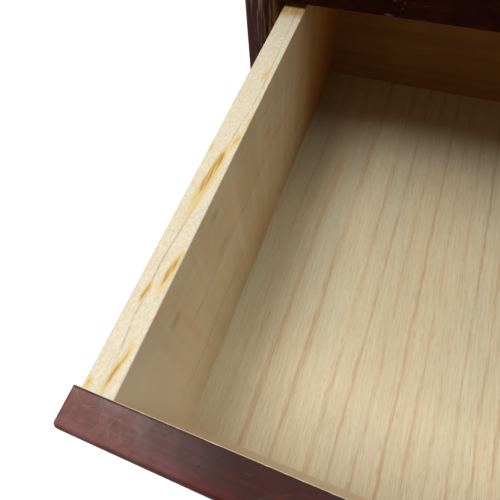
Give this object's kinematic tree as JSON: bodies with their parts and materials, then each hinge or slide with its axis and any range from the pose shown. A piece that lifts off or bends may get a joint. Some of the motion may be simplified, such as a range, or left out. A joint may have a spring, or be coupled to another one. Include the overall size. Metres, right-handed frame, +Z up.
{
  "type": "tea ceremony box",
  "caption": "Low lacquered tea ceremony box with a rimmed top, a deep pull-out drawer under two shallow drawers, and loose ring pulls.",
  "frame": {"origin": "middle of the underside of the base board", "axes": "+Z up, -Y is the front that the drawers open towards, +X to the right seen from the front"},
  "size_m": [0.392, 0.4841, 0.2016],
  "materials": {
    "red_brown_lacquer": "satin, worn",
    "pale_maple": "planed, unfinished",
    "pale_floor_wood": "planed, unfinished",
    "plain_inner_wood": "raw",
    "peg_wood": "raw",
    "aged_brass": "dull, darkened"
  },
  "bodies": {
    "case": {"base_board": "red_brown_lacquer", "top_board": "red_brown_lacquer", "case_side_left": "red_brown_lacquer", "case_side_right": "red_brown_lacquer", "back_panel": "red_brown_lacquer", "middle_rail": "red_brown_lacquer", "middle_shelf": "plain_inner_wood", "upper_divider": "red_brown_lacquer", "runner_left": "plain_inner_wood", "runner_right": "plain_inner_wood", "guide_left": "plain_inner_wood", "guide_right": "plain_inner_wood", "deep_drawer_stops": "plain_inner_wood", "upper_drawer_stops": "plain_inner_wood", "rim_front": "red_brown_lacquer", "rim_back": "red_brown_lacquer", "rim_left": "red_brown_lacquer", "rim_right": "red_brown_lacquer", "case_dowels": "peg_wood"},
    "deep_drawer": {"deep_front": "red_brown_lacquer", "deep_side_left": "pale_maple", "deep_side_right": "pale_maple", "deep_back": "pale_maple", "deep_floor": "pale_floor_wood", "deep_front_dowels": "peg_wood", "deep_pegs": "peg_wood", "deep_pull_left_plate": "aged_brass", "deep_pull_left_washer": "aged_brass", "deep_pull_left_post": "aged_brass", "deep_pull_right_plate": "aged_brass", "deep_pull_right_washer": "aged_brass", "deep_pull_right_post": "aged_brass"},
    "upper_left_drawer": {"upper_left_front": "red_brown_lacquer", "upper_left_side_left": "pale_maple", "upper_left_side_right": "pale_maple", "upper_left_back": "pale_maple", "upper_left_floor": "pale_floor_wood", "upper_left_front_dowels": "peg_wood", "upper_left_pegs": "peg_wood", "upper_left_pull_plate": "aged_brass", "upper_left_pull_washer": "aged_brass", "upper_left_pull_post": "aged_brass"},
    "upper_right_drawer": {"upper_right_front": "red_brown_lacquer", "upper_right_side_left": "pale_maple", "upper_right_side_right": "pale_maple", "upper_right_back": "pale_maple", "upper_right_floor": "pale_floor_wood", "upper_right_front_dowels": "peg_wood", "upper_right_pegs": "peg_wood", "upper_right_pull_plate": "aged_brass", "upper_right_pull_washer": "aged_brass", "upper_right_pull_post": "aged_brass"},
    "deep_pull_left_swing": {"deep_pull_left_ring": "aged_brass"},
    "deep_pull_right_swing": {"deep_pull_right_ring": "aged_brass"},
    "upper_left_pull_swing": {"upper_left_pull_ring": "aged_brass"},
    "upper_right_pull_swing": {"upper_right_pull_ring": "aged_brass"}
  },
  "joints": [
    {"name": "deep_drawer_slide", "type": "slide", "parent": "case", "child": "deep_drawer", "axis": [0, -1, 0], "range_m": [-0.181, 0.045]},
    {"name": "upper_left_slide", "type": "slide", "parent": "case", "child": "upper_left_drawer", "axis": [0, -1, 0], "range_m": [0, 0.2]},
    {"name": "upper_right_slide", "type": "slide", "parent": "case", "child": "upper_right_drawer", "axis": [0, -1, 0], "range_m": [0, 0.2]},
    {"name": "deep_pull_left_hinge", "type": "hinge", "parent": "deep_drawer", "child": "deep_pull_left_swing", "pos_m": [-0.072, -0.3298, 0.0756], "axis": [-1, 0, 0], "range_deg": [0, 160]},
    {"name": "deep_pull_right_hinge", "type": "hinge", "parent": "deep_drawer", "child": "deep_pull_right_swing", "pos_m": [0.072, -0.3298, 0.0756], "axis": [-1, 0, 0], "range_deg": [0, 160]},
    {"name": "upper_left_pull_hinge", "type": "hinge", "parent": "upper_left_drawer", "child": "upper_left_pull_swing", "pos_m": [-0.0914, -0.1484, 0.1572], "axis": [-1, 0, 0], "range_deg": [0, 160]},
    {"name": "upper_right_pull_hinge", "type": "hinge", "parent": "upper_right_drawer", "child": "upper_right_pull_swing", "pos_m": [0.0914, -0.1484, 0.1572], "axis": [-1, 0, 0], "range_deg": [0, 160]}
  ]
}
